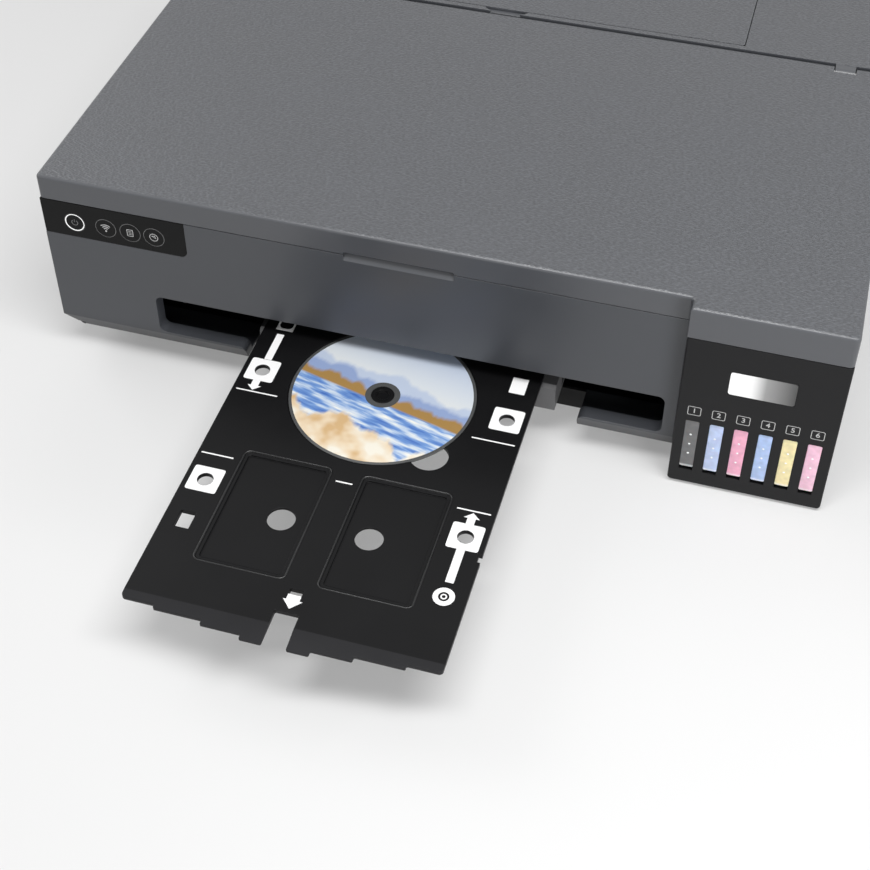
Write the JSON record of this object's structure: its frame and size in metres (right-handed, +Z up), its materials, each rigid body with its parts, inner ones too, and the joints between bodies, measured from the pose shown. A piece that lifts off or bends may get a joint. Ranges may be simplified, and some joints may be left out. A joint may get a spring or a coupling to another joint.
{
  "type": "disc label printer",
  "caption": "Wide inkjet photo printer with a flat tray for a disc and cards in its front slot, a hinged lid, push buttons and refillable ink tanks behind windows.",
  "frame": {"origin": "on the table, below the middle of the box that holds the printer with its disc tray out", "axes": "+Z up, the front with the slot and tray faces -Y, +X to the right of someone who stands before it"},
  "size_m": [0.523, 0.605, 0.149],
  "materials": {
    "shell_plastic": "fine satin texture",
    "lid_plastic": "fine pressed leather-like grain",
    "base_plastic": "plain moulded",
    "black_plastic": "smooth satin",
    "tray_plastic": "smooth satin, white printed marks",
    "stage_plastic": "satin",
    "panel_gloss": "high gloss",
    "light_guide": "frosted, lit",
    "bright_plate": "bright brushed",
    "tank_clear": "translucent",
    "cap_plastic": "satin",
    "disc_print": "printed, semi-gloss",
    "frame_steel": "zinc plated",
    "shaft_steel": "polished",
    "motor_metal": "plated can",
    "inner_plastic": "moulded",
    "roller_rubber": "ground",
    "foot_rubber": "plain",
    "belt_rubber": "moulded",
    "tube_clear": "translucent",
    "board": "solder mask",
    "screw_steel": "blackened"
  },
  "bodies": {
    "housing": {"bottom_case": "base_plastic", "feet": "foot_rubber", "front_panel": "shell_plastic", "left_cover": "shell_plastic", "right_cover": "shell_plastic", "rear_cover": "shell_plastic", "screws": "screw_steel", "lid_hinge_pins": "shaft_steel", "rear_deck": "lid_plastic", "front_deck": "inner_plastic", "ink_tubes": "tube_clear", "tank_case": "black_plastic", "badge": "bright_plate", "ink_tanks": "tank_clear", "control_panel": "panel_gloss", "power_light_ring": "light_guide", "side_frames": "frame_steel", "carriage_rail": "frame_steel", "guide_shaft": "shaft_steel", "encoder_strip": "tube_clear", "motors": "motor_metal", "timing_belt": "belt_rubber", "feed_belt": "belt_rubber", "platen": "inner_plastic", "capping_unit": "inner_plastic", "paper_chute": "inner_plastic", "power_supply": "inner_plastic", "power_inlet": "inner_plastic", "main_board": "board", "waste_ink_box": "inner_plastic"},
    "lid": {"lid": "lid_plastic"},
    "paper_support": {"paper_support": "lid_plastic"},
    "disc_tray": {"disc_tray": "tray_plastic"},
    "disc": {"disc": "disc_print"},
    "output_rear": {"output_tray_rear": "stage_plastic"},
    "output_middle": {"output_tray_middle": "stage_plastic"},
    "output_front": {"output_tray_front": "stage_plastic"},
    "hopper": {"hopper_plate": "inner_plastic"},
    "guide_left": {"edge_guide_left": "inner_plastic"},
    "guide_right": {"edge_guide_right": "inner_plastic"},
    "pickup": {"pickup_roller": "roller_rubber"},
    "feed": {"feed_roller": "shaft_steel"},
    "exit": {"output_roller": "roller_rubber"},
    "pinch": {"pinch_rollers": "roller_rubber"},
    "stars": {"star_wheels": "shaft_steel"},
    "motor_pulley": {"motor_pulley": "inner_plastic"},
    "carriage": {"carriage": "inner_plastic", "print_head": "inner_plastic"},
    "drive_pulley": {"drive_pulley": "inner_plastic"},
    "idler_pulley": {"idler_pulley": "inner_plastic"},
    "power_button": {"power_button": "panel_gloss"},
    "wireless_button": {"wireless_button": "panel_gloss"},
    "sheet_button": {"sheet_button": "panel_gloss"},
    "stop_button": {"stop_button": "panel_gloss"},
    "tank_cap_1": {"tank_cap_1": "cap_plastic"},
    "tank_cap_2": {"tank_cap_2": "cap_plastic"},
    "tank_cap_3": {"tank_cap_3": "cap_plastic"},
    "tank_cap_4": {"tank_cap_4": "cap_plastic"},
    "tank_cap_5": {"tank_cap_5": "cap_plastic"},
    "tank_cap_6": {"tank_cap_6": "cap_plastic"}
  },
  "joints": [
    {"name": "lid_hinge", "type": "hinge", "parent": "housing", "child": "lid", "pos_m": [0, 0.1994, 0.1445], "axis": [-1, 0, 0], "range_deg": [0, 60]},
    {"name": "paper_support_hinge", "type": "hinge", "parent": "housing", "child": "paper_support", "pos_m": [0, 0.2865, 0.1473], "axis": [-1, 0, 0], "range_deg": [0, 110]},
    {"name": "disc_tray_slide", "type": "slide", "parent": "housing", "child": "disc_tray", "axis": [0, 1, 0], "range_m": [-0.06, 0.2]},
    {"name": "disc_turn", "type": "hinge", "parent": "disc_tray", "child": "disc", "pos_m": [-0.01955, -0.1005, 0.049], "axis": [0, 0, 1], "continuous": true},
    {"name": "output_tray_rear_slide", "type": "slide", "parent": "housing", "child": "output_rear", "axis": [0, -1, 0], "range_m": [0, 0.12]},
    {"name": "output_tray_middle_slide", "type": "slide", "parent": "output_rear", "child": "output_middle", "axis": [0, -1, 0], "range_m": [0, 0.11]},
    {"name": "output_tray_front_slide", "type": "slide", "parent": "output_middle", "child": "output_front", "axis": [0, -1, 0], "range_m": [0, 0.09]},
    {"name": "hopper_tilt", "type": "hinge", "parent": "housing", "child": "hopper", "pos_m": [0, 0.2695, 0.124], "axis": [-1, 0, 0], "range_deg": [0, 5]},
    {"name": "guide_left_slide", "type": "slide", "parent": "hopper", "child": "guide_left", "axis": [-1, 0, 0], "range_m": [-0.05, 0.05]},
    {"name": "guide_right_slide", "type": "slide", "parent": "hopper", "child": "guide_right", "axis": [1, 0, 0], "range_m": [-0.05, 0.05]},
    {"name": "pickup_turn", "type": "hinge", "parent": "housing", "child": "pickup", "pos_m": [0, 0.19926, 0.09359], "axis": [1, 0, 0], "continuous": true},
    {"name": "feed_roller_turn", "type": "hinge", "parent": "housing", "child": "feed", "pos_m": [0, 0.1155, 0.0407], "axis": [1, 0, 0], "continuous": true},
    {"name": "output_roller_turn", "type": "hinge", "parent": "housing", "child": "exit", "pos_m": [0, 0.0035, 0.0407], "axis": [1, 0, 0], "continuous": true},
    {"name": "pinch_rollers_turn", "type": "hinge", "parent": "housing", "child": "pinch", "pos_m": [0, 0.1155, 0.0543], "axis": [1, 0, 0], "continuous": true},
    {"name": "star_wheels_turn", "type": "hinge", "parent": "housing", "child": "stars", "pos_m": [0, 0.0035, 0.0543], "axis": [1, 0, 0], "continuous": true},
    {"name": "motor_pulley_turn", "type": "hinge", "parent": "housing", "child": "motor_pulley", "pos_m": [0, 0.0595, 0.022], "axis": [1, 0, 0], "continuous": true},
    {"name": "carriage_slide", "type": "slide", "parent": "housing", "child": "carriage", "axis": [-1, 0, 0], "range_m": [0, 0.37]},
    {"name": "drive_pulley_turn", "type": "hinge", "parent": "housing", "child": "drive_pulley", "pos_m": [-0.2355, 0.1235, 0.1], "axis": [0, 1, 0], "continuous": true},
    {"name": "idler_pulley_turn", "type": "hinge", "parent": "housing", "child": "idler_pulley", "pos_m": [0.24, 0.1235, 0.1], "axis": [0, 1, 0], "continuous": true},
    {"name": "power_button_press", "type": "slide", "parent": "housing", "child": "power_button", "axis": [0, 1, 0], "range_m": [0, 0.0008], "stiffness_N_per_m": 2500},
    {"name": "wireless_button_press", "type": "slide", "parent": "housing", "child": "wireless_button", "axis": [0, 1, 0], "range_m": [0, 0.0008], "stiffness_N_per_m": 2500},
    {"name": "sheet_button_press", "type": "slide", "parent": "housing", "child": "sheet_button", "axis": [0, 1, 0], "range_m": [0, 0.0008], "stiffness_N_per_m": 2500},
    {"name": "stop_button_press", "type": "slide", "parent": "housing", "child": "stop_button", "axis": [0, 1, 0], "range_m": [0, 0.0008], "stiffness_N_per_m": 2500},
    {"name": "tank_cap_1_hinge", "type": "hinge", "parent": "housing", "child": "tank_cap_1", "pos_m": [0.17455, -0.0335, 0.1095], "axis": [-1, 0, 0], "range_deg": [0, 100]},
    {"name": "tank_cap_2_hinge", "type": "hinge", "parent": "housing", "child": "tank_cap_2", "pos_m": [0.18965, -0.0335, 0.1095], "axis": [-1, 0, 0], "range_deg": [0, 100]},
    {"name": "tank_cap_3_hinge", "type": "hinge", "parent": "housing", "child": "tank_cap_3", "pos_m": [0.20475, -0.0335, 0.1095], "axis": [-1, 0, 0], "range_deg": [0, 100]},
    {"name": "tank_cap_4_hinge", "type": "hinge", "parent": "housing", "child": "tank_cap_4", "pos_m": [0.21985, -0.0335, 0.1095], "axis": [-1, 0, 0], "range_deg": [0, 100]},
    {"name": "tank_cap_5_hinge", "type": "hinge", "parent": "housing", "child": "tank_cap_5", "pos_m": [0.23495, -0.0335, 0.1095], "axis": [-1, 0, 0], "range_deg": [0, 100]},
    {"name": "tank_cap_6_hinge", "type": "hinge", "parent": "housing", "child": "tank_cap_6", "pos_m": [0.25005, -0.0335, 0.1095], "axis": [-1, 0, 0], "range_deg": [0, 100]}
  ],
  "couplings": [
    {"joint": "output_roller_turn", "follows": "feed_roller_turn", "ratio": 1},
    {"joint": "motor_pulley_turn", "follows": "feed_roller_turn", "ratio": 2},
    {"joint": "drive_pulley_turn", "follows": "carriage_slide", "rad_per_m": -126.58},
    {"joint": "idler_pulley_turn", "follows": "carriage_slide", "rad_per_m": -126.58},
    {"joint": "guide_right_slide", "follows": "guide_left_slide", "ratio": 1}
  ]
}
